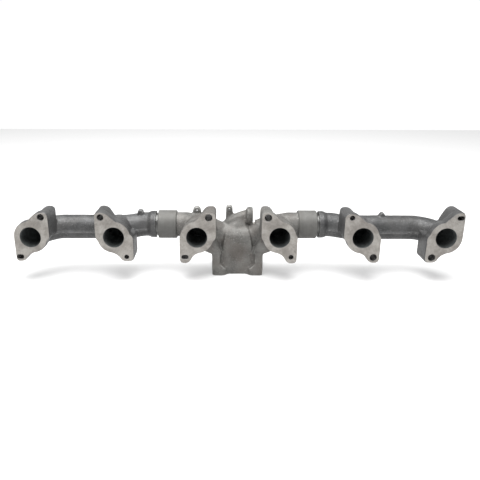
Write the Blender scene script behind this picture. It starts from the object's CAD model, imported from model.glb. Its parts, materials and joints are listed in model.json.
"""Looks of a three-piece exhaust manifold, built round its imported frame.

Each casting is fused from bars, slabs and shells, softened like sand-cast iron, and then
machined: port faces, bores, bolt holes, seats, spigots and noses. The sleeves are turned.
Everything is in metres, +X along the engine, +Y away from the cylinder head and +Z up.
"""

import json
import logging
import math
from dataclasses import dataclass, field
from enum import Enum

import bpy
from mathutils import Euler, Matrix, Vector, noise
from mathutils.geometry import interpolate_bezier


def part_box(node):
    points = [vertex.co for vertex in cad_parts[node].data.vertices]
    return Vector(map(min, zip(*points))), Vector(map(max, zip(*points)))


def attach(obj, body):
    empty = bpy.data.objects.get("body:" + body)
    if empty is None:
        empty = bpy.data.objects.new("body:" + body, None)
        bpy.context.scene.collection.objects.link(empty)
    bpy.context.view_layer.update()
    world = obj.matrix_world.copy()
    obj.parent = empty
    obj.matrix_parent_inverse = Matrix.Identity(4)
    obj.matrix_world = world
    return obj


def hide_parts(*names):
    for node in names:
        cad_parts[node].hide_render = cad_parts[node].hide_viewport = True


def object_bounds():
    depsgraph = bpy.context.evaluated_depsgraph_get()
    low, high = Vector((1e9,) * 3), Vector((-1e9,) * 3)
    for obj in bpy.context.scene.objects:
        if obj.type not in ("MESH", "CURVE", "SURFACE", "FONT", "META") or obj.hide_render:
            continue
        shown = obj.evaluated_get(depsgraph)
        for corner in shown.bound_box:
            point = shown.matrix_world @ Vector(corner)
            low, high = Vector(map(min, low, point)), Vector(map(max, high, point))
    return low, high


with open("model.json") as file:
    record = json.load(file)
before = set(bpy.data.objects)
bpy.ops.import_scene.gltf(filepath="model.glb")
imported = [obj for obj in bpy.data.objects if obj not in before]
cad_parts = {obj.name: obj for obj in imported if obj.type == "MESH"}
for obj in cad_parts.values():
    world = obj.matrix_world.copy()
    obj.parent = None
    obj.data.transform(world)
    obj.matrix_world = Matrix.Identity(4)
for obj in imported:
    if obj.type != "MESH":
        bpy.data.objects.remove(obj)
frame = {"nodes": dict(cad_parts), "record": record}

CAD_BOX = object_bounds()
LOG = logging.getLogger("manifold")

Points = list[Vector]
Outline = list[tuple[float, float]]


class Side(Enum):
    """The two ends of the manifold, by the sign of X."""

    LEFT = -1
    RIGHT = 1

    @property
    def word(self) -> str:
        """The side's name in piece and body names."""
        return self.name.lower()


class Join(Enum):
    """How a tool body meets a casting."""

    ADD = "UNION"
    TAKE = "DIFFERENCE"


def opening(name: str) -> tuple[Vector, Vector]:
    """Find a stated opening of the frame.

    Args:
        name: The opening's name in the record.

    Returns:
        Its lowest and highest corner.
    """
    for item in frame["record"]["physics"]["openings"]:
        if item["name"] == name:
            return Vector(item["box_m"][0]), Vector(item["box_m"][1])
    raise KeyError(name)


def joint_point(name: str) -> Vector:
    """Give the point that a hinge of the frame turns about."""
    for item in frame["record"]["behaviour"]["joints"]:
        if item["name"] == name:
            return Vector(item["pos_m"])
    raise KeyError(name)


@dataclass(frozen=True)
class Layout:
    """Planes and axes that every piece shares, read from the frame."""

    face_y: float = CAD_BOX[0].y
    port_z: float = (opening("port_3")[0].z + opening("port_3")[1].z) / 2
    log_y: float = CAD_BOX[0].y + 0.0745
    joint_y: float = joint_point("left_turn").y
    joint_z: float = joint_point("left_turn").z
    shoulder: float = joint_point("right_turn").x
    sleeve_start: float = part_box("right_slip_sleeve")[0].x
    sleeve_end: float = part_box("right_slip_sleeve")[1].x
    outlet_x: float = 0.0325

    def joint(self, distance: float, side: Side) -> Vector:
        """Give the point on the slip joints' axis at a distance from the middle."""
        return Vector((side.value * distance, self.joint_y, self.joint_z))


PLAN = Layout()


class Bench:
    """The modelling operators that every piece is made with."""

    @staticmethod
    def deselect() -> None:
        """Deselect every object."""
        bpy.ops.object.select_all(action="DESELECT")

    @staticmethod
    def pick(item: bpy.types.Object) -> None:
        """Make an object the only one selected, and active."""
        Bench.deselect()
        item.select_set(True)
        bpy.context.view_layer.objects.active = item

    @staticmethod
    def settle(item: bpy.types.Object) -> bpy.types.Object:
        """Put an object's place, turn and size into its mesh."""
        Bench.pick(item)
        bpy.ops.object.transform_apply(location=True, rotation=True, scale=True)
        return item

    @staticmethod
    def tidy(item: bpy.types.Object) -> bpy.types.Object:
        """Merge doubled points and point every face outwards."""
        Bench.pick(item)
        bpy.ops.object.mode_set(mode="EDIT")
        bpy.ops.mesh.select_all(action="SELECT")
        bpy.ops.mesh.remove_doubles(threshold=0.00001)
        bpy.ops.mesh.normals_make_consistent(inside=False)
        bpy.ops.object.mode_set(mode="OBJECT")
        return item

    @staticmethod
    def finish_with(item: bpy.types.Object, kind: str, **settings: object) -> bpy.types.Object:
        """Add a modifier and apply it.

        Args:
            item: The object.
            kind: The modifier's type.
            settings: Values of the modifier's own properties.

        Returns:
            The same object.
        """
        Bench.pick(item)
        bpy.ops.object.modifier_add(type=kind)
        modifier = item.modifiers[-1]
        for name, value in settings.items():
            setattr(modifier, name, value)
        bpy.ops.object.modifier_apply(modifier=modifier.name)
        return item

    @staticmethod
    def join(items: list[bpy.types.Object], name: str) -> bpy.types.Object:
        """Join objects into the first of them.

        Args:
            items: The objects, whose meshes stay separate shells.
            name: The name of the joined object.

        Returns:
            The joined object.
        """
        Bench.deselect()
        for item in items:
            item.select_set(True)
        bpy.context.view_layer.objects.active = items[0]
        if len(items) > 1:
            bpy.ops.object.join()
        items[0].name = name
        return items[0]

    @staticmethod
    def boolean(item: bpy.types.Object, tools: list[bpy.types.Object], how: Join) -> None:
        """Add tool bodies to an object or take them away, and delete the tools.

        Args:
            item: The object to change.
            tools: Closed bodies that don't touch each other.
            how: Add or take.
        """
        tool = Bench.join(tools, "tool")
        Bench.finish_with(
            item, "BOOLEAN", operation=how.value, object=tool,
            solver="MANIFOLD", material_mode="TRANSFER",
        )
        bpy.data.objects.remove(tool, do_unlink=True)

    @staticmethod
    def bar(path: Points, radii: list[float], sides: int = 10) -> bpy.types.Object:
        """Make a round bar along a path, from a curve with a bevel and filled ends.

        Args:
            path: Points of the bar's axis.
            radii: The radius at each point.
            sides: Bevel resolution of the curve.

        Returns:
            The bar as a closed mesh.
        """
        Bench.deselect()
        bpy.ops.curve.primitive_nurbs_path_add()
        item = bpy.context.object
        curve = item.data
        curve.splines.clear()
        spline = curve.splines.new("POLY")
        spline.points.add(len(path) - 1)
        for point, place, radius in zip(spline.points, path, radii):
            point.co = (*place, 1.0)
            point.radius = radius
        curve.bevel_depth = 1.0
        curve.bevel_resolution = sides
        curve.use_fill_caps = True
        bpy.ops.object.convert(target="MESH")
        return Bench.tidy(Bench.settle(bpy.context.object))

    @staticmethod
    def sketch(name: str, mode: str, points: Points, edges: list, faces: list) -> bpy.types.Object:
        """Make an object from points, and open it for editing with all of it selected.

        Args:
            name: The object's name.
            mode: What edit mode selects: VERT or FACE.
            points: Its points.
            edges: Pairs of point numbers.
            faces: Rings of point numbers.

        Returns:
            The object, in edit mode.
        """
        mesh = bpy.data.meshes.new(name)
        mesh.from_pydata(points, edges, faces)
        item = bpy.data.objects.new(name, mesh)
        bpy.context.scene.collection.objects.link(item)
        Bench.pick(item)
        bpy.ops.object.mode_set(mode="EDIT")
        bpy.ops.mesh.select_mode(type=mode)
        bpy.ops.mesh.select_all(action="SELECT")
        return item

    @staticmethod
    def slab(outline: Outline, start: Vector, rungs: list[tuple[float, float]]) -> bpy.types.Object:
        """Extrude an outline in the XZ plane along Y, resized at each rung.

        Args:
            outline: Points (x, z) round the start point.
            start: Where the outline's own origin lies.
            rungs: Distance from the start point along Y and size factor of each section.

        Returns:
            The closed body.
        """
        first_y, first_size = rungs[0]
        corners = [(x * first_size, first_y, z * first_size) for x, z in outline]
        item = Bench.sketch("slab", "FACE", corners, [], [tuple(range(len(corners)))])
        for (y, size), (next_y, next_size) in zip(rungs, rungs[1:]):
            bpy.ops.mesh.extrude_region_move(TRANSFORM_OT_translate={"value": (0, next_y - y, 0)})
            if next_size != size:
                ratio = next_size / size
                bpy.ops.transform.resize(value=(ratio, 1, ratio), center_override=(0, next_y, 0))
        bpy.ops.object.mode_set(mode="OBJECT")
        item.location = start
        return Bench.tidy(Bench.settle(item))

    @staticmethod
    def turned(profile: Outline, centre: Vector, turn: Euler, steps: int = 96) -> bpy.types.Object:
        """Turn a profile about its axis, as on a lathe.

        Args:
            profile: Points (distance along the axis, radius). One that starts and ends on
                the axis makes a solid body, and any other one is closed into a ring.
            centre: The axis's own origin.
            turn: Rotation that lays the axis, which is +Z before it, in its place.
            steps: Steps round the axis.

        Returns:
            The closed body.
        """
        count = len(profile)
        edges = [(index, index + 1) for index in range(count - 1)]
        if profile[0][1] > 0:
            edges.append((count - 1, 0))
        points = [(radius, 0.0, along) for along, radius in profile]
        item = Bench.sketch("turned", "VERT", points, edges, [])
        bpy.ops.mesh.spin(
            steps=steps, angle=math.tau, center=(0, 0, 0), axis=(0, 0, 1), dupli=False,
        )
        bpy.ops.object.mode_set(mode="OBJECT")
        item.rotation_euler = turn
        item.location = centre
        return Bench.tidy(Bench.settle(item))

    @staticmethod
    def box(low: Vector, high: Vector, edge: float = 0.0) -> bpy.types.Object:
        """Make a block, with rounded edges where a size is given.

        Args:
            low: Lowest corner.
            high: Highest corner.
            edge: Width of the rounded edge.

        Returns:
            The closed body.
        """
        Bench.deselect()
        bpy.ops.mesh.primitive_cube_add(size=1, location=(low + high) / 2)
        item = bpy.context.object
        item.scale = high - low
        Bench.settle(item)
        if edge > 0:
            Bench.finish_with(item, "BEVEL", width=edge, segments=3, limit_method="NONE")
        return item

    @staticmethod
    def shell(points: Points) -> bpy.types.Object:
        """Make the convex body round a set of points."""
        item = Bench.sketch("shell", "VERT", points, [], [])
        bpy.ops.mesh.convex_hull()
        bpy.ops.object.mode_set(mode="OBJECT")
        return Bench.tidy(item)

    @staticmethod
    def shade(item: bpy.types.Object, degrees: float) -> None:
        """Shade an object smooth up to an angle between faces."""
        Bench.pick(item)
        bpy.ops.object.shade_smooth_by_angle(angle=math.radians(degrees))


class Draw:
    """Outlines and rings of points that several pieces use."""

    @staticmethod
    def arc(radius: float, start: float, end: float, steps: int) -> Outline:
        """Points on an arc about the origin, angles in degrees."""
        points = []
        for step in range(steps + 1):
            angle = math.radians(start + (end - start) * step / steps)
            points.append((radius * math.cos(angle), radius * math.sin(angle)))
        return points

    @staticmethod
    def rounded(corners: list[tuple[float, float, float]], steps: int = 6) -> Outline:
        """Round the corners of an outline.

        Args:
            corners: Points (x, z, reach), where reach is how far the rounding runs.
            steps: Steps in each rounding.

        Returns:
            The closed outline.
        """
        points = []
        for index, (x, z, reach) in enumerate(corners):
            here = Vector((x, z))
            if reach == 0:
                points.append((x, z))
                continue
            before = Vector(corners[index - 1][:2]) - here
            after = Vector(corners[(index + 1) % len(corners)][:2]) - here
            run = min(reach, before.length * 0.48, after.length * 0.48)
            start = here + before.normalized() * run
            end = here + after.normalized() * run
            for step in range(steps + 1):
                t = step / steps
                point = start * (1 - t) ** 2 + here * 2 * t * (1 - t) + end * t ** 2
                points.append((point.x, point.y))
        return points

    @staticmethod
    def slot(radius: float, stretch: float) -> Outline:
        """Outline of a round hole, or of a slot stretched along X."""
        right = [(x + stretch, z) for x, z in Draw.arc(radius, -90, 90, 14)]
        left = [(x - stretch, z) for x, z in Draw.arc(radius, 90, 270, 14)]
        return right + (left if stretch > 0 else left[1:-1])

    @staticmethod
    def ring(centre: Vector, radius: float, turn: Euler, steps: int = 32) -> Points:
        """Points on a circle whose axis is +Z before the turn."""
        points = []
        for x, y in Draw.arc(radius, 0, 360 - 360 / steps, steps - 1):
            spoke = Vector((x, y, 0.0))
            spoke.rotate(turn)
            points.append(centre + spoke)
        return points


ALONG_X = {Side.LEFT: Euler((0, -math.pi / 2, 0)), Side.RIGHT: Euler((0, math.pi / 2, 0))}
ALONG_Y = Euler((-math.pi / 2, 0, 0))
UPRIGHT = Euler((0, 0, 0))


class Graph:
    """A short way to wire shader nodes."""

    def __init__(self, tree: bpy.types.NodeTree) -> None:
        """Start on a node tree."""
        self.tree = tree

    def add(self, kind: str, **settings: object) -> bpy.types.Node:
        """Add a node.

        Args:
            kind: The node's type.
            settings: Values of its properties, or of its inputs where a name has spaces
                written as underscores.

        Returns:
            The node.
        """
        node = self.tree.nodes.new(kind)
        for name, value in settings.items():
            if hasattr(node, name):
                setattr(node, name, value)
            else:
                node.inputs[name.replace("_", " ")].default_value = value
        return node

    def link(self, source: bpy.types.NodeSocket, target: bpy.types.NodeSocket) -> None:
        """Join an output to an input."""
        self.tree.links.new(source, target)

    def noise(self, place: bpy.types.NodeSocket, scale: float, detail: float,
              rough: float = 0.5) -> bpy.types.NodeSocket:
        """Add a noise pattern and give its value."""
        node = self.add("ShaderNodeTexNoise", Scale=scale, Detail=detail, Roughness=rough)
        self.link(place, node.inputs["Vector"])
        return node.outputs["Fac"]

    def ramp(self, value: bpy.types.NodeSocket, low: float, high: float) -> bpy.types.NodeSocket:
        """Stretch a value so that low becomes 0 and high becomes 1, smoothly."""
        node = self.add("ShaderNodeMapRange", interpolation_type="SMOOTHSTEP")
        node.inputs["From Min"].default_value = low
        node.inputs["From Max"].default_value = high
        self.link(value, node.inputs["Value"])
        return node.outputs["Result"]

    def blend(self, factor: bpy.types.NodeSocket, first: object, second: object,
              amount: float = 1.0) -> bpy.types.NodeSocket:
        """Mix two colours by a factor that is first scaled by an amount."""
        if amount != 1.0:
            factor = self.sum(factor, amount, "MULTIPLY")
        node = self.add("ShaderNodeMix", data_type="RGBA")
        self.link(factor, node.inputs[0])
        for socket, value in ((node.inputs[6], first), (node.inputs[7], second)):
            if isinstance(value, bpy.types.NodeSocket):
                self.link(value, socket)
            else:
                socket.default_value = (*value, 1.0)
        return node.outputs[2]

    def sum(self, first: object, second: object, how: str = "ADD") -> bpy.types.NodeSocket:
        """Combine two values with a Math node."""
        node = self.add("ShaderNodeMath", operation=how)
        for socket, value in zip(node.inputs, (first, second)):
            if isinstance(value, bpy.types.NodeSocket):
                self.link(value, socket)
            else:
                socket.default_value = value
        return node.outputs[0]


class Effects:
    """Node groups that more than one finish uses."""

    _made: dict[str, bpy.types.NodeTree] = {}

    @classmethod
    def start(cls, name: str, inputs: list[str], outputs: list[tuple[str, str]]) -> Graph:
        """Begin a group with its sockets.

        Args:
            name: The group's name.
            inputs: Names of its number inputs, after Place.
            outputs: Names and socket types of its outputs.

        Returns:
            The graph to wire.
        """
        tree = bpy.data.node_groups.new(name, "ShaderNodeTree")
        tree.interface.new_socket("Place", in_out="INPUT", socket_type="NodeSocketVector")
        for label in inputs:
            tree.interface.new_socket(label, in_out="INPUT", socket_type="NodeSocketFloat")
        for label, kind in outputs:
            tree.interface.new_socket(label, in_out="OUTPUT", socket_type=kind)
        cls._made[name] = tree
        return Graph(tree)

    @classmethod
    def grit(cls) -> bpy.types.NodeTree:
        """Shot-blasted sand grain: a height, and a mask of its pits."""
        if "Grit" in cls._made:
            return cls._made["Grit"]
        graph = cls.start("Grit", ["Grain"], [("Height", "NodeSocketFloat"), ("Pits", "NodeSocketFloat")])
        source = graph.add("NodeGroupInput")
        place = graph.add("ShaderNodeVectorMath", operation="SCALE")
        graph.link(source.outputs["Place"], place.inputs[0])
        graph.link(source.outputs["Grain"], place.inputs["Scale"])
        fine = graph.noise(place.outputs[0], 1.0, 3.0, 0.62)
        coarse = graph.noise(place.outputs[0], 0.28, 2.0)
        cells = graph.add("ShaderNodeTexVoronoi", Scale=0.55, feature="SMOOTH_F1")
        graph.link(place.outputs[0], cells.inputs["Vector"])
        pits = graph.ramp(cells.outputs["Distance"], 0.42, 0.10)
        lumps = graph.sum(fine, graph.sum(coarse, 1.3, "MULTIPLY"))
        height = graph.sum(lumps, graph.sum(pits, 0.35, "MULTIPLY"), "SUBTRACT")
        target = graph.add("NodeGroupOutput")
        graph.link(height, target.inputs["Height"])
        graph.link(pits, target.inputs["Pits"])
        return graph.tree

    @classmethod
    def stain(cls) -> bpy.types.NodeTree:
        """Handling stains and dust: a broad mask and a speckle mask."""
        if "Stain" in cls._made:
            return cls._made["Stain"]
        graph = cls.start("Stain", ["Size"], [("Broad", "NodeSocketFloat"), ("Speckle", "NodeSocketFloat")])
        source = graph.add("NodeGroupInput")
        place = graph.add("ShaderNodeVectorMath", operation="SCALE")
        graph.link(source.outputs["Place"], place.inputs[0])
        graph.link(source.outputs["Size"], place.inputs["Scale"])
        broad = graph.ramp(graph.noise(place.outputs[0], 1.0, 4.0, 0.6), 0.40, 0.66)
        speckle = graph.ramp(graph.noise(place.outputs[0], 14.0, 2.0, 0.6), 0.60, 0.74)
        target = graph.add("NodeGroupOutput")
        graph.link(broad, target.inputs["Broad"])
        graph.link(speckle, target.inputs["Speckle"])
        return graph.tree

    @classmethod
    def wear(cls) -> bpy.types.NodeTree:
        """Rubbed edges and dirty hollows, from how the surface bends."""
        if "Wear" in cls._made:
            return cls._made["Wear"]
        graph = cls.start("Wear", ["Breakup"], [("Edges", "NodeSocketFloat"), ("Hollows", "NodeSocketFloat")])
        source = graph.add("NodeGroupInput")
        bend = graph.add("ShaderNodeNewGeometry").outputs["Pointiness"]
        broken = graph.add("ShaderNodeTexNoise", Detail=3.0)
        graph.link(source.outputs["Place"], broken.inputs["Vector"])
        graph.link(source.outputs["Breakup"], broken.inputs["Scale"])
        rough = graph.sum(graph.sum(broken.outputs["Fac"], 0.5, "SUBTRACT"), 0.03, "MULTIPLY")
        value = graph.sum(bend, rough)
        target = graph.add("NodeGroupOutput")
        graph.link(graph.ramp(value, 0.515, 0.56), target.inputs["Edges"])
        graph.link(graph.ramp(value, 0.49, 0.45), target.inputs["Hollows"])
        return graph.tree


@dataclass(frozen=True)
class Finish:
    """What every finish shares: a name and the plain values of its shader."""

    name: str
    metallic: float
    roughness: float

    def start(self) -> tuple[bpy.types.Material, Graph, bpy.types.Node, bpy.types.NodeSocket]:
        """Make the material with its shader and Object coordinates.

        Returns:
            The material, its graph, its shader and the coordinates.
        """
        made = bpy.data.materials.new(self.name)
        made.use_nodes = True
        graph = Graph(made.node_tree)
        shader = made.node_tree.nodes["Principled BSDF"]
        shader.inputs["Metallic"].default_value = self.metallic
        shader.inputs["Roughness"].default_value = self.roughness
        place = graph.add("ShaderNodeTexCoord").outputs["Object"]
        return made, graph, shader, place

    @staticmethod
    def group(graph: Graph, tree: bpy.types.NodeTree, place: bpy.types.NodeSocket,
              value: float) -> bpy.types.Node:
        """Place a node group that takes Place and one number."""
        node = graph.add("ShaderNodeGroup", node_tree=tree)
        graph.link(place, node.inputs["Place"])
        node.inputs[1].default_value = value
        return node

    @staticmethod
    def bump(graph: Graph, shader: bpy.types.Node, height: bpy.types.NodeSocket,
             distance: float, strength: float = 1.0) -> None:
        """Feed a height to the shader's Normal through a Bump node."""
        node = graph.add("ShaderNodeBump", Strength=strength, Distance=distance)
        graph.link(height, node.inputs["Height"])
        graph.link(node.outputs["Normal"], shader.inputs["Normal"])


@dataclass(frozen=True)
class CastSkin(Finish):
    """Sand-cast iron, shot-blasted: grain, blotches, rubbed edges and dull hollows."""

    dark: tuple[float, float, float] = (0.09, 0.09, 0.09)
    light: tuple[float, float, float] = (0.16, 0.16, 0.16)
    rubbed: tuple[float, float, float] = (0.34, 0.34, 0.33)
    stain: tuple[float, float, float] = (0.12, 0.09, 0.07)
    stain_amount: float = 0.25
    grain: float = 900.0
    depth: float = 0.00022
    scorch: tuple[float, float, float] = (0.0, 0.0, 0.0)
    scorch_reach: float = 0.0
    scorched: tuple[float, float, float] = (0.070, 0.056, 0.048)

    def build(self) -> bpy.types.Material:
        """Make the material."""
        made, graph, shader, place = self.start()
        grit = self.group(graph, Effects.grit(), place, self.grain)
        marks = self.group(graph, Effects.stain(), place, 26.0)
        wear = self.group(graph, Effects.wear(), place, 220.0)
        blotch = graph.ramp(graph.noise(place, 34.0, 5.0, 0.6), 0.34, 0.66)
        colour = graph.blend(blotch, self.dark, self.light)
        colour = graph.blend(graph.ramp(grit.outputs["Height"], 0.85, 1.5), colour, self.light, 0.55)
        colour = graph.blend(marks.outputs["Broad"], colour, self.stain, self.stain_amount)
        colour = graph.blend(marks.outputs["Speckle"], colour, self.rubbed, 0.30)
        colour = graph.blend(wear.outputs["Edges"], colour, self.rubbed, 0.60)
        colour = graph.blend(wear.outputs["Hollows"], colour, self.dark, 0.55)
        if self.scorch_reach > 0:
            colour = graph.blend(self.near_scorch(graph, place), colour, self.scorched, 0.62)
        graph.link(colour, shader.inputs["Base Color"])
        rough = graph.sum(graph.sum(grit.outputs["Pits"], 0.22, "MULTIPLY"), self.roughness)
        rough = graph.sum(rough, graph.sum(wear.outputs["Edges"], 0.16, "MULTIPLY"), "SUBTRACT")
        graph.link(rough, shader.inputs["Roughness"])
        self.bump(graph, shader, grit.outputs["Height"], self.depth)
        return made

    def near_scorch(self, graph: Graph, place: bpy.types.NodeSocket) -> bpy.types.NodeSocket:
        """Mask the patch that hot gas has browned.

        Args:
            graph: The material's graph.
            place: Object coordinates.

        Returns:
            One in the middle of the patch, and zero beyond its reach.
        """
        away = graph.add("ShaderNodeVectorMath", operation="DISTANCE")
        graph.link(place, away.inputs[0])
        away.inputs[1].default_value = self.scorch
        ragged = graph.sum(graph.noise(place, 60.0, 3.0), 0.02, "MULTIPLY")
        return graph.ramp(graph.sum(away.outputs["Value"], ragged), self.scorch_reach, 0.012)


@dataclass(frozen=True)
class MilledFace(Finish):
    """Face-milled iron: faint crossing tool arcs, stains and small rust marks."""

    colour: tuple[float, float, float] = (0.222, 0.208, 0.192)
    bright: tuple[float, float, float] = (0.350, 0.334, 0.310)
    stain: tuple[float, float, float] = (0.120, 0.104, 0.092)
    sweep: float = 0.060
    pitch: float = 0.0009

    def build(self) -> bpy.types.Material:
        """Make the material."""
        made, graph, shader, place = self.start()
        marks = self.group(graph, Effects.stain(), place, 38.0)
        wave = graph.add(
            "ShaderNodeTexWave", wave_type="RINGS", rings_direction="Y",
            Scale=0.05 / self.pitch, Distortion=1.2, Detail=2.0, Detail_Scale=1.0,
        )
        shift = graph.add("ShaderNodeMapping")
        shift.inputs["Location"].default_value = (0.0, 0.0, self.sweep)
        graph.link(place, shift.inputs["Vector"])
        graph.link(shift.outputs["Vector"], wave.inputs["Vector"])
        cloud = graph.ramp(graph.noise(place, 60.0, 5.0, 0.65), 0.32, 0.70)
        colour = graph.blend(cloud, self.colour, self.bright)
        colour = graph.blend(wave.outputs["Fac"], colour, self.bright, 0.22)
        colour = graph.blend(marks.outputs["Broad"], colour, self.stain, 0.42)
        colour = graph.blend(marks.outputs["Speckle"], colour, self.stain, 0.60)
        graph.link(colour, shader.inputs["Base Color"])
        rough = graph.sum(graph.sum(cloud, 0.14, "MULTIPLY"), self.roughness)
        rough = graph.sum(rough, graph.sum(marks.outputs["Broad"], 0.12, "MULTIPLY"))
        graph.link(rough, shader.inputs["Roughness"])
        fine = graph.noise(place, 1500.0, 2.0)
        height = graph.sum(graph.sum(wave.outputs["Fac"], 0.6, "MULTIPLY"), fine)
        self.bump(graph, shader, height, 0.00003)
        return made


@dataclass(frozen=True)
class TurnedSteel(Finish):
    """Lathe-turned metal: fine rings along X, light scale and a few specks."""

    colour: tuple[float, float, float] = (0.100, 0.0985, 0.093)
    bright: tuple[float, float, float] = (0.158, 0.156, 0.148)
    stain: tuple[float, float, float] = (0.085, 0.080, 0.070)

    def build(self) -> bpy.types.Material:
        """Make the material."""
        made, graph, shader, place = self.start()
        marks = self.group(graph, Effects.stain(), place, 45.0)
        squash = graph.add("ShaderNodeMapping")
        squash.inputs["Scale"].default_value = (1.0, 0.004, 0.004)
        graph.link(place, squash.inputs["Vector"])
        rings = graph.noise(squash.outputs["Vector"], 1400.0, 4.0, 0.7)
        cloud = graph.ramp(graph.noise(place, 70.0, 4.0, 0.6), 0.30, 0.72)
        colour = graph.blend(cloud, self.colour, self.bright, 0.6)
        colour = graph.blend(graph.ramp(rings, 0.35, 0.70), colour, self.bright, 0.45)
        colour = graph.blend(marks.outputs["Broad"], colour, self.stain, 0.28)
        colour = graph.blend(marks.outputs["Speckle"], colour, self.stain, 0.45)
        graph.link(colour, shader.inputs["Base Color"])
        rough = graph.sum(graph.sum(rings, 0.16, "MULTIPLY"), self.roughness)
        graph.link(rough, shader.inputs["Roughness"])
        grain = graph.noise(place, 1100.0, 2.0)
        height = graph.sum(rings, graph.sum(grain, 0.5, "MULTIPLY"))
        self.bump(graph, shader, height, 0.00005)
        return made


@dataclass(frozen=True)
class SootyBore(Finish):
    """The dark inside of a gas path: dull scale with paler patches."""

    dark: tuple[float, float, float] = (0.034, 0.038, 0.038)
    light: tuple[float, float, float] = (0.064, 0.070, 0.070)

    def build(self) -> bpy.types.Material:
        """Make the material."""
        made, graph, shader, place = self.start()
        grit = self.group(graph, Effects.grit(), place, 700.0)
        cloud = graph.ramp(graph.noise(place, 90.0, 4.0, 0.6), 0.35, 0.70)
        graph.link(graph.blend(cloud, self.dark, self.light), shader.inputs["Base Color"])
        rough = graph.sum(graph.sum(grit.outputs["Pits"], 0.1, "MULTIPLY"), self.roughness)
        graph.link(rough, shader.inputs["Roughness"])
        self.bump(graph, shader, grit.outputs["Height"], 0.0002)
        return made


@dataclass(frozen=True)
class DrilledHole(Finish):
    """The wall of a drilled hole or a tapped one: dark bright-edged feed rings."""

    dark: tuple[float, float, float] = (0.07, 0.068, 0.065)
    light: tuple[float, float, float] = (0.20, 0.195, 0.19)

    def build(self) -> bpy.types.Material:
        """Make the material."""
        made, graph, shader, place = self.start()
        squash = graph.add("ShaderNodeMapping")
        squash.inputs["Scale"].default_value = (0.05, 1.0, 0.05)
        graph.link(place, squash.inputs["Vector"])
        rings = graph.ramp(graph.noise(squash.outputs["Vector"], 900.0, 3.0), 0.35, 0.68)
        graph.link(graph.blend(rings, self.dark, self.light), shader.inputs["Base Color"])
        graph.link(graph.sum(graph.sum(rings, 0.12, "MULTIPLY"), self.roughness), shader.inputs["Roughness"])
        self.bump(graph, shader, rings, 0.00006)
        return made


@dataclass(frozen=True)
class StudioPaper(Finish):
    """Plain pale studio paper, with the faintest mottling and a glow of its own."""

    tone: float = 0.50
    glow: float = 0.42

    def build(self) -> bpy.types.Material:
        """Make the material."""
        made, graph, shader, place = self.start()
        cloud = graph.noise(place, 1.5, 2.0)
        colour = graph.blend(cloud, (self.tone,) * 3, (self.tone * 1.03,) * 3)
        graph.link(colour, shader.inputs["Base Color"])
        shader.inputs["Emission Color"].default_value = (1, 1, 1, 1)
        shader.inputs["Emission Strength"].default_value = self.glow
        return made


class Finishes:
    """The finishes of the manifold, each built once."""

    def __init__(self) -> None:
        """Build every material."""
        self.end_iron = CastSkin(
            "end_iron_skin", metallic=0.55, roughness=0.50,
            dark=(0.047, 0.0475, 0.048), light=(0.095, 0.0955, 0.096),
            rubbed=(0.36, 0.36, 0.355), stain=(0.066, 0.060, 0.054), stain_amount=0.22,
        ).build()
        self.centre_iron = CastSkin(
            "centre_iron_skin", metallic=0.40, roughness=0.58,
            dark=(0.084, 0.082, 0.077), light=(0.158, 0.155, 0.146),
            rubbed=(0.50, 0.50, 0.48), stain=(0.115, 0.094, 0.082), stain_amount=0.35,
            scorch=(0.0, -0.036, 0.050), scorch_reach=0.045,
        ).build()
        self.milled = MilledFace("milled_iron", metallic=0.45, roughness=0.42).build()
        self.turned = TurnedSteel("turned_sleeve", metallic=0.30, roughness=0.56).build()
        self.ring = TurnedSteel(
            "ground_ring", metallic=0.85, roughness=0.28,
            colour=(0.075, 0.075, 0.073), bright=(0.16, 0.16, 0.155), stain=(0.045, 0.040, 0.036),
        ).build()
        self.bore = SootyBore("sooty_bore", metallic=0.0, roughness=0.80).build()
        self.hole = DrilledHole("drilled_hole", metallic=0.60, roughness=0.45).build()
        self.floor = StudioPaper("pale_floor", metallic=0.0, roughness=0.90).build()


@dataclass(frozen=True)
class BoltHole:
    """A bolt hole through an ear: its radius, and half the stretch of a slot."""

    radius: float
    stretch: float = 0.0


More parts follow.
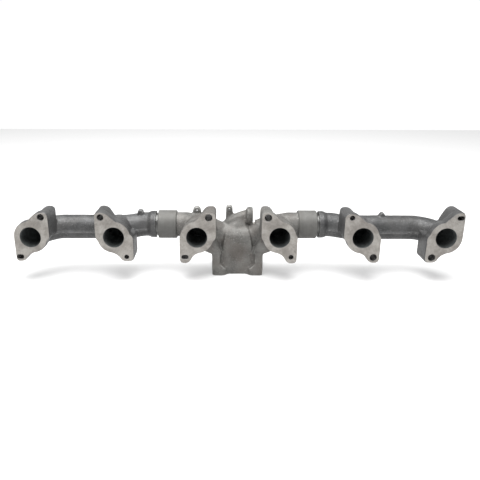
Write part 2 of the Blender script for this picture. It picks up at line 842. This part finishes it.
@dataclass
class PortFlange:
    """One port's flange: a ring with an upper and a lower ear on long bolt pillars."""

    number: int
    lean: int
    upper_flank: float
    lower_flank: float
    top: float
    bottom: float
    upper: BoltHole
    lower: BoltHole
    straight: bool = True
    ring_radius: float = 0.0332
    plate_depth: float = 0.0190
    upper_pillar: float = 0.0560
    lower_pillar: float = 0.0485
    runner_depth: float = 0.0285
    runner_radius: float = 0.0275
    bore_radius: float = 0.0202
    bolt_x: float = 0.0240
    bolt_z: float = 0.0410
    stock: float = 0.0050
    seat_radius: float = 0.0105

    @property
    def centre(self) -> Vector:
        """The port's centre, on its machined face."""
        low, high = opening(f"port_{self.number}")
        return Vector(((low.x + high.x) / 2, PLAN.face_y, PLAN.port_z))

    def leaned(self, outline: Outline) -> Outline:
        """Mirror an outline for a flange that leans the other way."""
        if self.lean > 0:
            return outline
        return [(-x, z) for x, z in reversed(outline)]

    def upper_corners(self) -> list[tuple[float, float, float]]:
        """Corners of the upper ear, from the flank's foot round to the ring."""
        return [
            (self.upper_flank, -0.0020, 0.004),
            (self.upper_flank, self.top, 0.0115),
            (0.0160, self.top, 0.0095),
            (-0.0060, 0.0318, 0.0080),
        ]

    def lower_corners(self) -> list[tuple[float, float, float]]:
        """Corners of the lower ear, from the flank's foot round to the ring."""
        return [
            (-self.lower_flank, 0.0010, 0.004),
            (-self.lower_flank, -self.bottom, 0.0120),
            (-0.0165, -self.bottom, 0.0085),
            (-0.0080, -0.0385, 0.0070),
            (0.0050, -0.0322, 0.0050),
        ]

    def rough(self) -> list[bpy.types.Object]:
        """Cast the flange, its two pillars and the runner behind it.

        Returns:
            Closed bodies that overlap, with machining stock in front of the face.
        """
        ring_upper = [(x, z, 0.0) for x, z in Draw.arc(self.ring_radius, 106, 168, 9)]
        ring_lower = [(x, z, 0.0) for x, z in Draw.arc(self.ring_radius, -78, -14, 9)]
        corners = self.upper_corners() + ring_upper + self.lower_corners() + ring_lower
        inside = 0.010
        upper = self.upper_corners()[:2] + [
            (0.0175, self.top, 0.0095), (0.0040, 0.0300, 0.0080), (-inside, -inside, 0.0),
        ]
        lower = self.lower_corners() + [(inside, inside, 0.0)]
        plate = [(-self.stock, 0.970), (0.0, 0.972), (0.0022, 1.0), (self.plate_depth, 1.0)]
        upper_rungs, lower_rungs = (
            [(self.plate_depth / 2, 1.0), (depth - 0.002, 1.0), (depth, 0.975)]
            for depth in (self.upper_pillar, self.lower_pillar)
        )
        reach = PLAN.log_y - PLAN.face_y if self.straight else self.runner_depth
        axis = [self.centre + Vector((0, y, 0)) for y in (0.004, reach)]
        return [
            Bench.slab(self.leaned(Draw.rounded(corners)), self.centre, plate),
            Bench.slab(self.leaned(Draw.rounded(upper)), self.centre, upper_rungs),
            Bench.slab(self.leaned(Draw.rounded(lower)), self.centre, lower_rungs),
            Bench.bar(axis, [self.runner_radius] * 2),
        ]

    def hole_tools(self) -> list[bpy.types.Object]:
        """Make the tools of both bolt holes, with a chamfer in front and a seat behind.

        Returns:
            Two bodies that stay clear of each other.
        """
        tools = []
        for hole, sign, depth in ((self.upper, 1, self.upper_pillar), (self.lower, -1, self.lower_pillar)):
            place = self.centre + Vector((sign * self.lean * self.bolt_x, 0, sign * self.bolt_z))
            chamfer = 1 + 0.0006 / hole.radius
            seat = self.seat_radius / (hole.radius + hole.stretch)
            end = depth - 0.0010
            rungs = [(-0.002, chamfer), (0.0, chamfer), (0.0007, 1.0), (end, 1.0)]
            rungs += [(end + 0.00002, seat), (end + 0.006, seat)]
            tools.append(Bench.slab(Draw.slot(hole.radius, hole.stretch), place, rungs))
        return tools

    def bore_tool(self) -> bpy.types.Object:
        """Make the tool of the port's bore, with its small chamfer."""
        radius = self.bore_radius
        depth = PLAN.log_y - PLAN.face_y if self.straight else 0.021
        profile = [
            (-0.003, 0.0), (-0.003, radius + 0.0008), (0.0, radius + 0.0008),
            (0.0009, radius), (depth, radius), (depth, 0.0),
        ]
        return Bench.turned(profile, self.centre, ALONG_Y)


@dataclass
class Casting:
    """An iron casting: fused, softened, and then machined."""

    node: str
    body: str
    slot: str
    skin: bpy.types.Material
    finishes: Finishes
    ports: list[PortFlange]
    voxel: float = 0.0014
    soften: int = 7
    ripple: float = 0.00035

    def fuse(self, bodies: list[bpy.types.Object]) -> bpy.types.Object:
        """Fuse rough bodies into one skin with cast fillets and slight unevenness.

        Args:
            bodies: Closed bodies that overlap.

        Returns:
            The rough casting.
        """
        rough = bodies[0]
        rough.name = self.node + "_iron"
        for body in bodies[1:]:
            Bench.boolean(rough, [body], Join.ADD)
        voxel = self.voxel * 1.0
        Bench.finish_with(rough, "REMESH", mode="VOXEL", voxel_size=voxel)
        Bench.finish_with(rough, "SMOOTH", factor=0.5, iterations=self.soften)
        for size, share in ((0.020, 1.0), (0.006, 0.5)):
            cloud = bpy.data.textures.new("uneven_skin", "CLOUDS")
            cloud.noise_scale = size
            Bench.finish_with(
                rough, "DISPLACE", texture=cloud, texture_coords="GLOBAL",
                strength=self.ripple * share * 2, mid_level=0.5,
            )
        rough.data.materials.clear()
        rough.data.materials.append(self.skin)
        return rough

    def tooled(self, tool: bpy.types.Object, finish: bpy.types.Material) -> bpy.types.Object:
        """Give a tool body the finish that it leaves."""
        tool.data.materials.clear()
        tool.data.materials.append(finish)
        return tool

    def face_ports(self, rough: bpy.types.Object) -> None:
        """Mill the port faces flat."""
        low, high = CAD_BOX
        margin = 0.03
        tool = Bench.box(
            Vector((low.x - margin, low.y - margin, low.z - margin)),
            Vector((high.x + margin, PLAN.face_y, high.z + margin)),
        )
        Bench.boolean(rough, [self.tooled(tool, self.finishes.milled)], Join.TAKE)

    def drill(self, rough: bpy.types.Object) -> None:
        """Drill the bolt holes and bore the ports."""
        holes = []
        for port in self.ports:
            holes += [self.tooled(tool, self.finishes.hole) for tool in port.hole_tools()]
        Bench.boolean(rough, holes, Join.TAKE)
        bores = [self.tooled(port.bore_tool(), self.finishes.bore) for port in self.ports]
        Bench.boolean(rough, bores, Join.TAKE)

    def hand_over(self, piece: bpy.types.Object) -> None:
        """Shade the finished casting and tie it to the frame."""
        Bench.shade(piece, 32)
        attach(piece, self.body)
        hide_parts(self.node)
        LOG.info("%s: %d faces", piece.name, len(piece.data.polygons))


@dataclass
class TopLug:
    """A small cast lug on top of the log pipe."""

    x: float
    foot: float
    top: float
    height: float
    depth: float = 0.0065

    def rough(self, base_z: float) -> bpy.types.Object:
        """Cast the lug on a given height."""
        corners = [
            (-self.foot, -0.008, 0.0), (self.foot, -0.008, 0.0),
            (self.top, self.height, 0.003), (-self.top, self.height, 0.003),
        ]
        start = Vector((self.x, PLAN.log_y, base_z))
        return Bench.slab(Draw.rounded(corners), start, [(-self.depth, 1.0), (self.depth, 1.0)])


@dataclass(frozen=True)
class EyeLug:
    """A flat cast lug with a small hole through it, at a height above the ports' axis."""

    x: float
    y: float
    height: float
    drop: float
    foot: float
    top: float
    depth: float
    hole_height: float
    crown: float = 0.0012
    rounding: float = 0.0090
    hole_radius: float = 0.0022
    hole_reach: float = 0.012

    def rough(self) -> bpy.types.Object:
        """Cast the lug."""
        corners = [
            (-self.foot, -self.drop, 0.0), (self.foot, -self.drop, 0.0),
            (self.top, self.crown, self.rounding), (-self.top, self.crown, self.rounding),
        ]
        place = Vector((self.x, self.y, PLAN.port_z + self.height))
        return Bench.slab(Draw.rounded(corners), place, [(-self.depth, 1.0), (self.depth, 1.0)])

    def hole_tool(self) -> bpy.types.Object:
        """Make the tool of its hole."""
        place = Vector((self.x, self.y, PLAN.port_z + self.hole_height))
        rungs = [(-self.hole_reach, 1.0), (self.hole_reach, 1.0)]
        return Bench.slab(Draw.slot(self.hole_radius, 0.0), place, rungs)


@dataclass
class EndSection(Casting):
    """An end casting: two ports, an elbow, the log pipe, a shoulder and a spigot."""

    side: Side = Side.LEFT
    lug: TopLug = field(default_factory=lambda: TopLug(-0.203, 0.009, 0.005, 0.0120))
    log_radius: float = 0.0253
    log_bore: float = 0.0188
    elbow_reach: float = 0.052
    elbow_drop: float = 0.004
    shoulder_radius: float = 0.0283
    shoulder_length: float = 0.012
    spigot_radius: float = 0.0234
    spigot_bore: float = 0.0178
    spigot_length: float = 0.0290
    ring_width: float = 0.0026
    ring_gap: float = 0.0003
    groove_floor: float = 0.0207
    flash_radius: float = 0.0023

    def axis(self, first_y: float, drop: float, steps: int = 12) -> Points:
        """Lay out the log pipe's axis.

        Args:
            first_y: Where it starts in front of the outer port.
            drop: How far the elbow lies below the port's axis.
            steps: Points in each bend.

        Returns:
            Points from the outer port to the shoulder.
        """
        sign = self.side.value
        outer, inner = (port.centre.x for port in self.ports)
        down = Vector((0, 0, -drop))
        elbow_start = Vector((outer, PLAN.face_y + 0.020, PLAN.port_z)) + down
        elbow_end = Vector((outer - sign * self.elbow_reach, PLAN.log_y, PLAN.port_z))
        bend = interpolate_bezier(
            elbow_start, elbow_start + Vector((0, 0.032, 0)),
            elbow_end + Vector((sign * 0.030, 0, 0)), elbow_end, steps,
        )
        rise_start = Vector((inner - sign * 0.010, PLAN.log_y, PLAN.port_z))
        rise_end = PLAN.joint(PLAN.shoulder + self.shoulder_length * 1.5, self.side)
        rise = interpolate_bezier(
            rise_start, rise_start - Vector((sign * 0.018, 0, 0)),
            rise_end + Vector((sign * 0.018, 0, 0)), rise_end, steps,
        )
        first = Vector((outer, first_y, PLAN.port_z)) + down
        return [first] + bend + rise + [PLAN.joint(PLAN.shoulder + 0.003, self.side)]

    def flash(self, path: Points) -> list[bpy.types.Object]:
        """Raise the parting-line ridge along both sides of the pipe."""
        ridges = []
        for hand in (-1, 1):
            line = []
            for index, point in enumerate(path[1:-1], start=1):
                ahead = (path[index + 1] - path[index - 1]).normalized()
                out = ahead.cross(Vector((0, 0, 1))).normalized() * hand
                wobble = noise.noise(point * 60.0) * 0.0006
                line.append(point + out * (self.log_radius + 0.0001) + Vector((0, 0, wobble - 0.0045)))
            ridges.append(Bench.bar(line, [self.flash_radius] * len(line), 4))
        return ridges

    def rough_bodies(self) -> list[bpy.types.Object]:
        """Cast every body of the section."""
        path = self.axis(PLAN.face_y + 0.004, self.elbow_drop)
        bodies = [Bench.bar(path, [self.log_radius] * len(path), 14)]
        for port in self.ports:
            bodies += port.rough()
        bodies += self.flash(path)
        radius = self.shoulder_radius
        length = self.shoulder_length
        collar = [
            (-0.004, 0.0), (-0.004, radius), (length * 0.8, radius),
            (length * 1.75, self.log_radius - 0.002), (length * 1.75, 0.0),
        ]
        start = PLAN.joint(PLAN.shoulder, self.side)
        bodies.append(Bench.turned(collar, start, ALONG_X[self.side]))
        bodies.append(self.lug.rough(PLAN.port_z + self.log_radius))
        return bodies

    def spigot(self) -> bpy.types.Object:
        """Turn the spigot with its three ring grooves."""
        radius = self.spigot_radius
        tip = -self.spigot_length
        profile = [(tip, 0.0), (tip, radius - 0.0008), (tip + 0.0008, radius)]
        for index in (1, 2, 3):
            low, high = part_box(f"{self.side.word}_seal_ring_{index}")
            middle = abs(low.x + high.x) / 2 - PLAN.shoulder
            half = self.ring_width / 2 + self.ring_gap
            profile += [
                (middle - half, radius), (middle - half, self.groove_floor),
                (middle + half, self.groove_floor), (middle + half, radius),
            ]
        profile += [(0.004, radius), (0.004, 0.0)]
        place = PLAN.joint(PLAN.shoulder, self.side)
        return Bench.turned(profile, place, ALONG_X[self.side], 128)

    def machine(self, rough: bpy.types.Object) -> None:
        """Mill, turn, drill and bore the section."""
        self.face_ports(rough)
        turned = self.finishes.turned
        cheek = [(-0.020, 0.0), (-0.020, 0.040), (0.0, 0.040), (0.0, 0.0)]
        start = PLAN.joint(PLAN.shoulder, self.side)
        facing = Bench.turned(cheek, start, ALONG_X[self.side])
        Bench.boolean(rough, [self.tooled(facing, turned)], Join.TAKE)
        Bench.boolean(rough, [self.tooled(self.spigot(), self.finishes.ring)], Join.ADD)
        self.drill(rough)
        path = self.axis(PLAN.face_y + 0.012, 0.0)
        in_port = 4
        radii = [self.ports[0].bore_radius - 0.0002] * in_port
        radii += [self.log_bore] * (len(path) - in_port - 1) + [self.spigot_bore]
        path.append(PLAN.joint(PLAN.shoulder - self.spigot_length - 0.004, self.side))
        radii.append(self.spigot_bore)
        core = Bench.bar(path, radii, 14)
        Bench.boolean(rough, [self.tooled(core, self.finishes.bore)], Join.TAKE)

    def build(self) -> None:
        """Build the section and tie it to the frame."""
        rough = self.fuse(self.rough_bodies())
        self.machine(rough)
        self.hand_over(rough)


@dataclass
class CentreSection(Casting):
    """The centre casting: two ports, the collector, the turbine flange and an outlet."""

    voxel: float = 0.00205
    soften: int = 6
    half_x: float = 0.0525
    half_y: float = 0.0446
    flange_depth: float = 0.0155
    set_back: float = 0.0100
    lobe_width: float = 0.0262
    column_width: float = 0.0172
    column_depth: float = 0.0240
    column_top: float = 0.0490
    duct_radius: float = 0.0262
    duct_bore: float = 0.0188
    nose_radius: float = 0.0250
    nose_length: float = 0.0095
    inlet_width: float = 0.0310
    inlet_half_y: float = 0.0220
    divider: float = 0.0100
    stud_x: float = 0.0395
    stud_y: float = 0.0330
    stud_radius: float = 0.0064
    outlet_y: float = 0.0050
    outlet_rise: float = 0.0215
    outlet_radius: float = 0.0190
    outlet_depth: float = 0.0130
    outlet_pipe: float = 0.0138
    outlet_bore: float = 0.0090
    duct_end: float = 0.0256
    web_radius: float = 0.026
    floor_z: float = 0.006
    cast_edge: float = 0.004
    eye_lugs: tuple[EyeLug, ...] = (
        EyeLug(-0.0168, 0.0100, 0.0430, 0.040, 0.0078, 0.0070, 0.0060, 0.0355),
        EyeLug(-0.0850, 0.0015, 0.0420, 0.024, 0.0115, 0.0070, 0.0055, 0.0345),
    )

    @property
    def duct_x(self) -> float:
        """X of each half's duct, at the middle of its inlet."""
        return self.divider / 2 + self.inlet_width / 2

    def duct_axis(self, side: Side, start_x: float, end_z: float, steps: int = 12) -> Points:
        """Lay out one half's gas path.

        Args:
            side: Which half.
            start_x: Distance from the middle where it starts.
            end_z: Height where it ends.
            steps: Points in the bend.

        Returns:
            Points from the slip joint through the port to the turbine flange.
        """
        sign = side.value
        port = Vector((self.ports[0 if sign < 0 else 1].centre.x, PLAN.face_y + 0.0775, PLAN.port_z))
        above = Vector((sign * self.duct_x, 0, PLAN.port_z - 0.052))
        drop = interpolate_bezier(
            port, port - Vector((sign * 0.029, 0, 0.003)),
            above + Vector((0, 0, 0.028)), above, steps,
        )
        near = PLAN.joint(abs(port.x) + 0.026, side)
        end = Vector((sign * self.duct_x, 0, end_z))
        return [PLAN.joint(start_x, side), near] + drop + [end]

    def outlet_axis(self, steps: int = 12) -> Points:
        """Lay out the small outlet's axis, from the collector to its flange."""
        start = Vector((-0.030, self.outlet_y, PLAN.port_z - 0.019))
        end = Vector((PLAN.outlet_x - 0.004, self.outlet_y, PLAN.port_z + self.outlet_rise))
        return interpolate_bezier(
            start, start + Vector((0.004, 0, 0.020)), end - Vector((0.030, 0, 0.003)), end, steps,
        )

    def flange(self) -> bpy.types.Object:
        """Cast the turbine flange, with its front lobes, standing on its stock."""
        front = -self.half_y
        inner = self.half_x - self.lobe_width
        corners = [
            (self.half_x, self.half_y, 0.010), (-self.half_x, self.half_y, 0.010),
            (-self.half_x, front, 0.007), (-inner, front, 0.008),
            (-inner + 0.006, front + self.set_back, 0.006),
            (inner - 0.006, front + self.set_back, 0.006),
            (inner, front, 0.008), (self.half_x, front, 0.007),
        ]
        stock = 0.005
        outline = [(x, -y) for x, y in Draw.rounded(corners)]
        rungs = [(0.0, 1.0), (self.flange_depth + stock, 1.0)]
        item = Bench.slab(outline, Vector((0, 0, 0)), rungs)
        item.rotation_euler = (math.pi / 2, 0, 0)
        item.location = (0, 0, -stock)
        return Bench.settle(item)

    def half_bodies(self, side: Side) -> list[bpy.types.Object]:
        """Cast one half's duct, web and columns."""
        sign = side.value
        path = self.duct_axis(side, PLAN.sleeve_start + 0.004, self.floor_z)
        radii = [self.duct_end] * 2 + [self.duct_radius] * (len(path) - 2)
        port = self.ports[0 if sign < 0 else 1].centre
        outer = self.half_x + 0.0006
        inner = outer - self.column_width
        front = 0.0004 - self.half_y
        low, high = sorted((sign * outer, sign * inner))
        web = Draw.ring(port + Vector((0, 0.016, 0)), self.web_radius, ALONG_Y)
        web += Draw.ring(Vector((port.x, PLAN.log_y - 0.004, PLAN.port_z)), self.web_radius, ALONG_Y)
        for corner_x in (sign * (outer - 0.0015), sign * (outer - 0.0200)):
            for corner_z in (self.column_top - 0.004, self.column_top + 0.001):
                web.append(Vector((corner_x, front + 0.0045, corner_z)))
                web.append(Vector((corner_x, front + 0.035, corner_z)))
        columns = []
        for start, top in ((front, self.column_top), (-front - self.column_depth, self.column_top - 0.010)):
            foot = Vector((low, start, self.floor_z))
            head = Vector((high, start + self.column_depth, top))
            columns.append(Bench.box(foot, head, self.cast_edge))
        return [
            Bench.bar(path, radii, 14),
            Bench.shell(web),
            self.valley(side),
            self.foot(side),
        ] + columns

    def valley(self, side: Side) -> bpy.types.Object:
        """Fill the valley between a column and the collector, a little behind both."""
        low, high = sorted((side.value * 0.020, side.value * 0.041))
        front = self.set_back + 0.0018 - self.half_y
        return Bench.box(Vector((low, front, self.floor_z)), Vector((high, 0.030, 0.046)), self.cast_edge)

    def collector(self) -> bpy.types.Object:
        """Cast the collector's body between the two ducts."""
        front = -self.half_y + self.set_back
        low, high = self.floor_z, 0.104
        rows = [
            (0.0290, front, low), (0.0290, front, 0.060), (0.0278, front + 0.0010, 0.072),
            (0.0260, front + 0.0045, 0.0830), (0.0236, front + 0.0105, 0.0912),
            (0.0214, front + 0.0180, 0.0972), (0.0200, front + 0.0280, 0.1012),
            (0.0330, front + 0.0070, low), (0.0330, front + 0.0070, 0.052),
            (0.0220, 0.0, high), (0.0300, 0.034, low), (0.0300, 0.034, 0.060),
            (0.0260, 0.031, 0.082), (0.0220, 0.024, high - 0.006), (0.0200, 0.012, high),
        ]
        points = []
        for x, y, z in rows:
            points += [Vector((x, y, z)), Vector((-x, y, z))]
        return Bench.shell(points)

    def saddle(self) -> bpy.types.Object:
        """Fill the hollow between the small outlet's pipe and the collector."""
        path = self.outlet_axis()
        points = []
        for point in (path[2], path[5], path[9]):
            points += Draw.ring(point, self.outlet_pipe - 0.0015, ALONG_X[Side.RIGHT], 16)
        for y, z in ((-0.022, 0.088), (0.026, 0.092)):
            points += [Vector((x, y, z)) for x in (-0.020, 0.020)]
        return Bench.shell(points)

    def foot(self, side: Side) -> bpy.types.Object:
        """Widen a front column down to its lobe of the turbine flange."""
        sign = side.value
        front = 0.0010 - self.half_y
        back = front + 0.014
        column = self.half_x - self.column_width
        lobe = self.half_x - self.lobe_width
        buried = column + 0.004
        low, high = 0.010, 0.024
        corners = (
            (buried, low), (lobe, low), (lobe, self.flange_depth), (column, high), (buried, high),
        )
        points = []
        for x, z in corners:
            points += [Vector((sign * x, front, z)), Vector((sign * x, back, z))]
        return Bench.shell(points)

    def lugs(self) -> list[bpy.types.Object]:
        """Cast the tall lug, the eye lug and the round boss on the collector."""
        boss = [
            (-0.024, 0.0), (-0.024, 0.0150), (-0.0090, 0.0135),
            (-0.0050, 0.0105), (-0.0034, 0.0060), (-0.0030, 0.0),
        ]
        lean = Euler((math.radians(48), 0, math.radians(-14)))
        boss_place = Vector((-0.0232, -0.0240, PLAN.port_z - 0.0005))
        return [lug.rough() for lug in self.eye_lugs] + [
            Bench.turned(boss, boss_place, lean, 32),
        ]

    def rough_bodies(self) -> list[bpy.types.Object]:
        """Cast every body of the section."""
        bodies = [self.flange(), self.collector(), self.saddle()]
        for side in Side:
            bodies += self.half_bodies(side)
        for port in self.ports:
            bodies += port.rough()
        outlet = self.outlet_axis()
        bodies.append(Bench.bar(outlet, [self.outlet_pipe] * len(outlet)))
        rim = self.outlet_radius
        disc = [
            (-self.outlet_depth, 0.0), (-self.outlet_depth, rim - 0.002),
            (0.002 - self.outlet_depth, rim), (-0.0015, rim), (0.004, rim - 0.0035), (0.004, 0.0),
        ]
        place = Vector((PLAN.outlet_x, self.outlet_y, PLAN.port_z + self.outlet_rise))
        bodies.append(Bench.turned(disc, place, ALONG_X[Side.RIGHT]))
        return bodies + self.lugs()

    def inlet_tool(self, side: Side) -> bpy.types.Object:
        """Make the tool of one turbine inlet, from a rounded mouth up to the duct."""
        sign = side.value
        near = self.divider / 2
        far = near + self.inlet_width
        corners = [
            (near, -self.inlet_half_y, 0.009), (far, -self.inlet_half_y, 0.009),
            (far, self.inlet_half_y, 0.009), (near, self.inlet_half_y, 0.009),
        ]
        points = []
        for z in (-0.004, 0.012):
            points += [Vector((sign * x, y, z)) for x, y in Draw.rounded(corners)]
        points += Draw.ring(Vector((sign * self.duct_x, 0, 0.040)), 0.0150, UPRIGHT)
        return self.tooled(Bench.shell(points), self.finishes.bore)

    def stud_tools(self) -> list[bpy.types.Object]:
        """Make the tools of the four tapped stud holes, with real thread grooves."""
        pitch, turns = 0.00175, 13
        mouth = self.stud_radius + 0.0012
        crest = self.stud_radius - 0.0009
        tools = []
        for x in (-self.stud_x, self.stud_x):
            for y in (-self.stud_y, self.stud_y):
                profile = [(-0.004, 0.0), (-0.004, mouth), (0.0, mouth)]
                for turn in range(turns):
                    base = 0.0012 + turn * pitch
                    profile += [(base, self.stud_radius), (base + pitch / 2, crest)]
                profile += [(0.0260, crest), (0.0285, 0.0)]
                tool = Bench.turned(profile, Vector((x, y, 0)), UPRIGHT, 40)
                tools.append(self.tooled(tool, self.finishes.hole))
        return tools

    def machine(self, rough: bpy.types.Object) -> None:
        """Mill, turn, drill and bore the section."""
        self.face_ports(rough)
        milled = self.finishes.milled
        reach = 0.2
        under = Bench.box(Vector((-reach, -reach, -0.03)), Vector((reach, reach, 0)))
        Bench.boolean(rough, [self.tooled(under, milled)], Join.TAKE)
        place = Vector((PLAN.outlet_x, self.outlet_y, PLAN.port_z + self.outlet_rise))
        cheek = [(0.0, 0.0), (0.0, 0.0205), (0.0055, 0.0205), (0.0055, 0.0)]
        facings = [self.tooled(Bench.turned(cheek, place, ALONG_X[Side.RIGHT]), milled)]
        nose_face = [(0.0, 0.0), (0.0, 0.035), (0.020, 0.035), (0.020, 0.0)]
        for side in Side:
            start = PLAN.joint(PLAN.sleeve_start - 0.0003, side)
            facings.append(self.tooled(Bench.turned(nose_face, start, ALONG_X[side]), self.finishes.turned))
        Bench.boolean(rough, facings, Join.TAKE)
        radius = self.nose_radius
        end = self.nose_length
        nose = [(-0.005, 0.0), (-0.005, radius), (end - 0.001, radius), (end, radius - 0.001), (end, 0.0)]
        noses = []
        for side in Side:
            start = PLAN.joint(PLAN.sleeve_start, side)
            noses.append(self.tooled(Bench.turned(nose, start, ALONG_X[side]), self.finishes.turned))
        Bench.boolean(rough, noses, Join.ADD)
        self.drill(rough)
        Bench.boolean(rough, self.stud_tools(), Join.TAKE)
        for side in Side:
            path = self.duct_axis(side, PLAN.sleeve_start + self.nose_length + 0.004, 0.030)
            radii = [self.duct_bore] * (len(path) - 4) + [0.0184, 0.0176, 0.0163, 0.0152]
            core = self.tooled(Bench.bar(path, radii, 12), self.finishes.bore)
            Bench.boolean(rough, [core], Join.TAKE)
            Bench.boolean(rough, [self.inlet_tool(side)], Join.TAKE)
        path = self.outlet_axis() + [place + Vector((0.004, 0, 0))]
        core = self.tooled(Bench.bar(path, [self.outlet_bore] * len(path)), self.finishes.bore)
        Bench.boolean(rough, [core], Join.TAKE)
        holes = [self.tooled(lug.hole_tool(), self.finishes.hole) for lug in self.eye_lugs]
        Bench.boolean(rough, holes, Join.TAKE)

    def build(self) -> None:
        """Build the section and tie it to the frame."""
        rough = self.fuse(self.rough_bodies())
        self.machine(rough)
        self.hand_over(rough)


@dataclass
class SlipSleeve:
    """A turned collar, pressed on the centre casting and open to the spigot."""

    side: Side
    finishes: Finishes
    radius: float = 0.0297
    chamfer: float = 0.0016
    bore: float = 0.0240
    seat: float = 0.0253
    seat_length: float = 0.0098

    def build(self) -> None:
        """Turn the collar and tie it to the frame."""
        length = PLAN.sleeve_end - PLAN.sleeve_start
        low = self.radius - self.chamfer
        shoulder = self.radius - self.chamfer * 0.3
        profile = [
            (0.0, self.seat + 0.0004), (0.0, low),
            (self.chamfer * 0.5, shoulder), (self.chamfer, self.radius),
            (length - self.chamfer, self.radius), (length - self.chamfer * 0.5, shoulder),
            (length, low), (length, self.bore + 0.0016),
            (length - 0.0016, self.bore), (self.seat_length, self.bore),
            (self.seat_length, self.seat), (0.0004, self.seat),
        ]
        place = PLAN.joint(PLAN.sleeve_start, self.side)
        piece = Bench.turned(profile, place, ALONG_X[self.side], 160)
        piece.name = f"{self.side.word}_sleeve_collar"
        piece.data.materials.append(self.finishes.turned)
        Bench.shade(piece, 28)
        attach(piece, "centre")
        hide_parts(f"{self.side.word}_slip_sleeve")
        LOG.info("%s: %d faces", piece.name, len(piece.data.polygons))


@dataclass
class SealRings:
    """The split rings in a spigot's grooves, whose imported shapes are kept."""

    side: Side
    finishes: Finishes

    def dress(self) -> None:
        """Give the three rings their ground finish."""
        for index in (1, 2, 3):
            ring = frame["nodes"][f"{self.side.word}_seal_ring_{index}"]
            ring.data.materials.clear()
            ring.data.materials.append(self.finishes.ring)
            LOG.info("%s: dressed", ring.name)


@dataclass
class Studio:
    """Camera, floor and soft light."""

    finishes: Finishes
    focal: float = 39.98
    sensor: float = 36.0
    shift_x: float = 0.0375
    pitch: float = 18.5
    roll: float = 0.15
    eye: tuple[float, float, float] = (-0.0323, -1.0838, 0.4263)
    horizon: float = 1.02
    zenith: float = 0.30

    def camera(self) -> None:
        """Place the camera."""
        data = bpy.data.cameras.new("view")
        data.lens = self.focal
        data.sensor_width = self.sensor
        data.shift_x = self.shift_x
        data.clip_start = 0.01
        data.clip_end = 50.0
        item = bpy.data.objects.new("view", data)
        bpy.context.scene.collection.objects.link(item)
        item.location = self.eye
        item.rotation_euler = (math.radians(90 - self.pitch), 0, 0)
        item.rotation_euler.rotate_axis("Z", math.radians(self.roll))
        bpy.context.scene.camera = item

    def lamp(self, name: str, place: tuple[float, float, float], size: float, watts: float,
             target: tuple[float, float, float] = (0.0, 0.0, 0.08)) -> None:
        """Hang a soft square lamp that faces a target."""
        data = bpy.data.lights.new(name, "AREA")
        data.shape = "SQUARE"
        data.size = size
        data.energy = watts
        item = bpy.data.objects.new(name, data)
        bpy.context.scene.collection.objects.link(item)
        item.location = place
        item.rotation_euler = (Vector(target) - Vector(place)).to_track_quat("-Z", "Y").to_euler()

    def floor(self) -> None:
        """Lay the pale floor."""
        Bench.deselect()
        bpy.ops.mesh.primitive_plane_add(size=5, location=(0, 0, -0.0002))
        item = Bench.settle(bpy.context.object)
        item.name = "floor"
        item.data.materials.append(self.finishes.floor)

    def build(self) -> None:
        """Set up the whole studio."""
        scene = bpy.context.scene
        scene.view_settings.view_transform = "Standard"
        world = bpy.data.worlds.new("studio")
        world.use_nodes = True
        graph = Graph(world.node_tree)
        split = graph.add("ShaderNodeSeparateXYZ")
        graph.link(graph.add("ShaderNodeTexCoord").outputs["Generated"], split.inputs[0])
        height = graph.ramp(split.outputs["Z"], 0.20, 0.60)
        sky = graph.blend(height, (self.horizon,) * 3, (self.zenith,) * 3)
        graph.link(sky, world.node_tree.nodes["Background"].inputs["Color"])
        scene.world = world
        self.camera()
        self.floor()
        self.lamp("top", (-0.2, -0.20, 2.2), 2.2, 124.0)


def port_flanges() -> list[PortFlange]:
    """List the six port flanges, from port 1 to port 6."""
    return [
        PortFlange(1, 1, 0.0383, 0.0329, 0.0512, 0.0512, BoltHole(0.0065), BoltHole(0.0045, 0.0022), False),
        PortFlange(2, -1, 0.0366, 0.0390, 0.0518, 0.0510, BoltHole(0.00625), BoltHole(0.0045)),
        PortFlange(3, 1, 0.0385, 0.0347, 0.0516, 0.0550, BoltHole(0.0069), BoltHole(0.0043, 0.0023)),
        PortFlange(4, -1, 0.0368, 0.0361, 0.0520, 0.0552, BoltHole(0.0069), BoltHole(0.0047)),
        PortFlange(5, -1, 0.0386, 0.0367, 0.0500, 0.0532, BoltHole(0.0048), BoltHole(0.0069)),
        PortFlange(6, 1, 0.0330, 0.0378, 0.0526, 0.0530, BoltHole(0.0042, 0.0027), BoltHole(0.0069), False),
    ]


def main() -> None:
    """Build the manifold's pieces in order, and then the studio."""
    logging.basicConfig(level=logging.INFO, format="%(name)s: %(message)s")
    finishes = Finishes()
    ports = port_flanges()
    CentreSection(
        "centre_section", "centre", "centre_iron", finishes.centre_iron, finishes, ports[2:4],
    ).build()
    EndSection(
        "left_end_section", "left_end", "end_iron", finishes.end_iron, finishes, ports[:2],
    ).build()
    EndSection(
        "right_end_section", "right_end", "end_iron", finishes.end_iron, finishes,
        [ports[5], ports[4]], side=Side.RIGHT, lug=TopLug(0.303, 0.011, 0.003, 0.0075),
    ).build()
    for side in Side:
        SlipSleeve(side, finishes).build()
        SealRings(side, finishes).dress()
    Studio(finishes).build()


if __name__ == "__main__":
    main()
